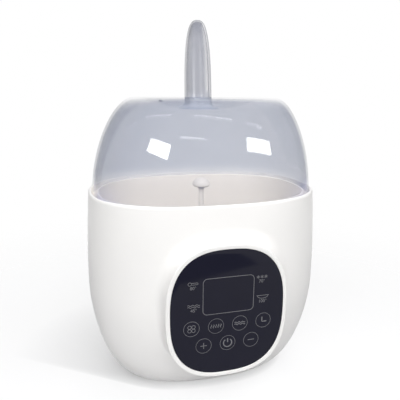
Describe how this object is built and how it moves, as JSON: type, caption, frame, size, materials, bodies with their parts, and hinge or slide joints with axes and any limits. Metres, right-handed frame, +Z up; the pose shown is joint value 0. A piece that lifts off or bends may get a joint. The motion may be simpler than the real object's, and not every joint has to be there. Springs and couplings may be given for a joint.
{
  "type": "bottle warmer sterilizer",
  "caption": "Countertop warmer and steam sterilizer for baby bottles: round-cornered pot with heated tank, touch panel, lift-out bottle basket and translucent lid with a tall grip.",
  "frame": {"origin": "middle of the footprint's box, on the table under the feet", "axes": "+Z up, -Y towards the control panel, +X to the right of someone facing the panel"},
  "size_m": [0.235, 0.183, 0.3559],
  "materials": {
    "housing_white": "glossy warm white moulding",
    "lens_black": "polished dark panel",
    "device_dark": "matt dark",
    "circuit_board": "green solder mask",
    "foam_dark": "conductive foam",
    "screw_steel": "zinc plated",
    "tank_cream": "satin cream moulding",
    "plate_aluminium": "coated aluminium",
    "silicone": "translucent silicone",
    "element_steel": "oxidised tube",
    "device_brown": "phenolic",
    "sensor_brass": "turned",
    "relay_blue": "moulded case",
    "transformer_tape": "taped winding",
    "wire_red": "silicone insulation",
    "ribbon_grey": "flat cable",
    "base_white": "fine texture",
    "foot_rubber": "matt rubber",
    "gland_grey": "soft bush",
    "basket_white": "satin white moulding",
    "lid_translucent": "frosted natural polypropylene"
  },
  "bodies": {
    "warmer": {"outer_housing": "housing_white", "panel_lens": "lens_black", "display_module": "device_dark", "control_board": "circuit_board", "touch_pads": "foam_dark", "buzzer": "device_dark", "board_screws": "screw_steel", "inner_tank": "tank_cream", "heating_plate": "plate_aluminium", "plate_seal": "silicone", "plate_clamp": "screw_steel", "clamp_screws": "screw_steel", "heating_element": "element_steel", "thermostat": "device_brown", "thermostat_strap": "screw_steel", "thermal_fuse": "device_brown", "temperature_sensor": "sensor_brass", "power_board": "circuit_board", "power_relay": "relay_blue", "power_transformer": "transformer_tape", "filter_capacitor": "device_dark", "power_screws": "screw_steel", "heater_leads": "wire_red", "panel_ribbon": "ribbon_grey", "base_cover": "base_white", "rubber_feet": "foot_rubber", "base_screws": "screw_steel", "cord_gland": "gland_grey"},
    "basket": {"bottle_basket": "basket_white", "basket_stem": "basket_white", "stem_knob": "basket_white"},
    "lid": {"lid": "lid_translucent"}
  },
  "joints": [
    {"name": "basket_lift", "type": "slide", "parent": "warmer", "child": "basket", "axis": [0, 0, 1], "range_m": [0, 0.14]},
    {"name": "lid_lift", "type": "slide", "parent": "basket", "child": "lid", "axis": [0, 0, 1], "range_m": [0, 0.12]}
  ]
}
